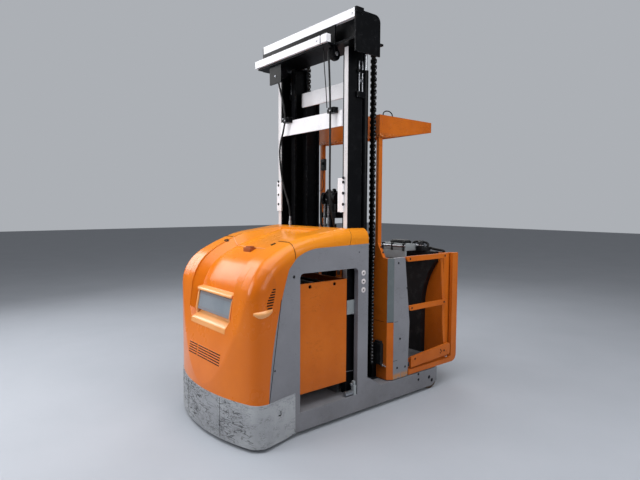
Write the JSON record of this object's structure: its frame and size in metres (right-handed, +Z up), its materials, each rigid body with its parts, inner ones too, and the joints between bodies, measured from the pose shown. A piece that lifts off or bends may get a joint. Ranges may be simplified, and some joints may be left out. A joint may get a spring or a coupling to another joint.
{
  "type": "order picker truck",
  "caption": "Electric order picker truck with a driver's cabin that rises on a telescopic mast, side gates and an overhead guard.",
  "frame": {"origin": "on the floor, at the middle of the truck's bounding box", "axes": "+X towards the cabin and the fork side, +Y towards the side away from the camera, +Z up"},
  "size_m": [2.28, 1.16, 2.894],
  "materials": {
    "battery_block": "matt",
    "black_plastic": "matt",
    "bright_steel": "bright",
    "cast_iron": "matt",
    "chain_steel": "oiled",
    "grey_enamel": "satin",
    "hood_shell": "gloss",
    "mast_black": "satin",
    "orange_enamel": "satin",
    "rubber_mat": "ribbed matt",
    "scuffed_skirt": "scuffed matt",
    "wheel_tread": "matt",
    "white_enamel": "satin"
  },
  "bodies": {
    "chassis": {"bumper_skirt": "scuffed_skirt", "hood": "hood_shell", "rear_cover": "hood_shell", "badge_plate": "grey_enamel", "side_frame_near": "grey_enamel", "side_frame_far": "grey_enamel", "leg_near": "grey_enamel", "leg_far": "grey_enamel", "base_frame": "grey_enamel", "drive_motor": "cast_iron", "battery_trough": "orange_enamel", "battery_cells": "battery_block", "roller_bed": "bright_steel", "outer_rail_near": "mast_black", "outer_rail_far": "mast_black", "outer_mast_plates": "white_enamel", "hose_clamps": "mast_black", "lift_cylinders": "mast_black"},
    "steering": {"steering_fork": "cast_iron"},
    "drive_wheel": {"drive_wheel": "wheel_tread"},
    "load_wheel_near": {"load_wheel_near": "wheel_tread"},
    "load_wheel_far": {"load_wheel_far": "wheel_tread"},
    "mast_middle": {"middle_rail_near": "mast_black", "middle_rail_far": "mast_black", "lift_rods": "bright_steel", "head_cheeks": "mast_black", "head_deck": "mast_black", "head_beam": "white_enamel", "head_bar": "white_enamel", "head_pulleys": "cast_iron", "lift_chains": "chain_steel"},
    "mast_inner": {"inner_rail_near": "mast_black", "inner_rail_far": "mast_black", "inner_cross_plates": "white_enamel", "centre_cylinder": "mast_black"},
    "crosshead": {"crosshead": "mast_black"},
    "cabin": {"cab_floor": "grey_enamel", "floor_mat": "rubber_mat", "mast_side_wall": "orange_enamel", "fork_side_wall": "orange_enamel", "corner_panels": "grey_enamel", "fork_side_posts": "orange_enamel", "cab_sills": "orange_enamel", "cabin_carriage": "mast_black", "gate_bearers": "orange_enamel", "guard_posts": "orange_enamel", "overhead_guard": "orange_enamel", "console": "black_plastic", "control_desk": "black_plastic", "fork_carriage": "mast_black"},
    "gate_upper_near": {"gate_upper_near": "orange_enamel"},
    "gate_middle_near": {"gate_middle_near": "orange_enamel"},
    "gate_lower_near": {"gate_lower_near": "orange_enamel"},
    "gate_link_near": {"gate_link_near": "orange_enamel"},
    "gate_upper_far": {"gate_upper_far": "orange_enamel"},
    "gate_middle_far": {"gate_middle_far": "orange_enamel"},
    "gate_lower_far": {"gate_lower_far": "orange_enamel"},
    "gate_link_far": {"gate_link_far": "orange_enamel"}
  },
  "joints": [
    {"name": "steer", "type": "hinge", "parent": "chassis", "child": "steering", "pos_m": [-0.865, 0, 0.4], "axis": [0, 0, 1], "range_deg": [-90, 90]},
    {"name": "drive_roll", "type": "hinge", "parent": "steering", "child": "drive_wheel", "pos_m": [-0.865, 0, 0.172], "axis": [0, 1, 0], "continuous": true},
    {"name": "load_roll_near", "type": "hinge", "parent": "chassis", "child": "load_wheel_near", "pos_m": [0.74, -0.4425, 0.076], "axis": [0, 1, 0], "continuous": true},
    {"name": "load_roll_far", "type": "hinge", "parent": "chassis", "child": "load_wheel_far", "pos_m": [0.74, 0.4425, 0.076], "axis": [0, 1, 0], "continuous": true},
    {"name": "mast_lift", "type": "slide", "parent": "chassis", "child": "mast_middle", "axis": [0, 0, 1], "range_m": [0, 1.75]},
    {"name": "inner_lift", "type": "slide", "parent": "mast_middle", "child": "mast_inner", "axis": [0, 0, 1], "range_m": [0, 1.75]},
    {"name": "cabin_lift", "type": "slide", "parent": "mast_inner", "child": "cabin", "axis": [0, 0, 1], "range_m": [0, 1.5]},
    {"name": "crosshead_lift", "type": "slide", "parent": "mast_inner", "child": "crosshead", "axis": [0, 0, 1], "range_m": [0, 0.75]},
    {"name": "gate_near", "type": "hinge", "parent": "cabin", "child": "gate_upper_near", "pos_m": [0.425, -0.489, 1.128], "axis": [0, -1, 0], "range_deg": [0, 65]},
    {"name": "gate_middle_swing_near", "type": "hinge", "parent": "cabin", "child": "gate_middle_near", "pos_m": [0.46, -0.489, 0.728], "axis": [0, -1, 0], "range_deg": [0, 65]},
    {"name": "gate_lower_swing_near", "type": "hinge", "parent": "cabin", "child": "gate_lower_near", "pos_m": [0.498, -0.489, 0.29], "axis": [0, -1, 0], "range_deg": [0, 65]},
    {"name": "gate_link_swing_near", "type": "hinge", "parent": "gate_upper_near", "child": "gate_link_near", "pos_m": [0.875, -0.489, 1.128], "axis": [0, -1, 0], "range_deg": [-65, 0]},
    {"name": "gate_far", "type": "hinge", "parent": "cabin", "child": "gate_upper_far", "pos_m": [0.425, 0.489, 1.128], "axis": [0, -1, 0], "range_deg": [0, 65]},
    {"name": "gate_middle_swing_far", "type": "hinge", "parent": "cabin", "child": "gate_middle_far", "pos_m": [0.46, 0.489, 0.728], "axis": [0, -1, 0], "range_deg": [0, 65]},
    {"name": "gate_lower_swing_far", "type": "hinge", "parent": "cabin", "child": "gate_lower_far", "pos_m": [0.498, 0.489, 0.29], "axis": [0, -1, 0], "range_deg": [0, 65]},
    {"name": "gate_link_swing_far", "type": "hinge", "parent": "gate_upper_far", "child": "gate_link_far", "pos_m": [0.875, 0.489, 1.128], "axis": [0, -1, 0], "range_deg": [-65, 0]}
  ],
  "couplings": [
    {"joint": "inner_lift", "follows": "mast_lift", "ratio": 1},
    {"joint": "crosshead_lift", "follows": "cabin_lift", "ratio": 0.5},
    {"joint": "gate_middle_swing_near", "follows": "gate_near", "ratio": 1},
    {"joint": "gate_lower_swing_near", "follows": "gate_near", "ratio": 1},
    {"joint": "gate_link_swing_near", "follows": "gate_near", "ratio": -1},
    {"joint": "gate_middle_swing_far", "follows": "gate_far", "ratio": 1},
    {"joint": "gate_lower_swing_far", "follows": "gate_far", "ratio": 1},
    {"joint": "gate_link_swing_far", "follows": "gate_far", "ratio": -1}
  ]
}
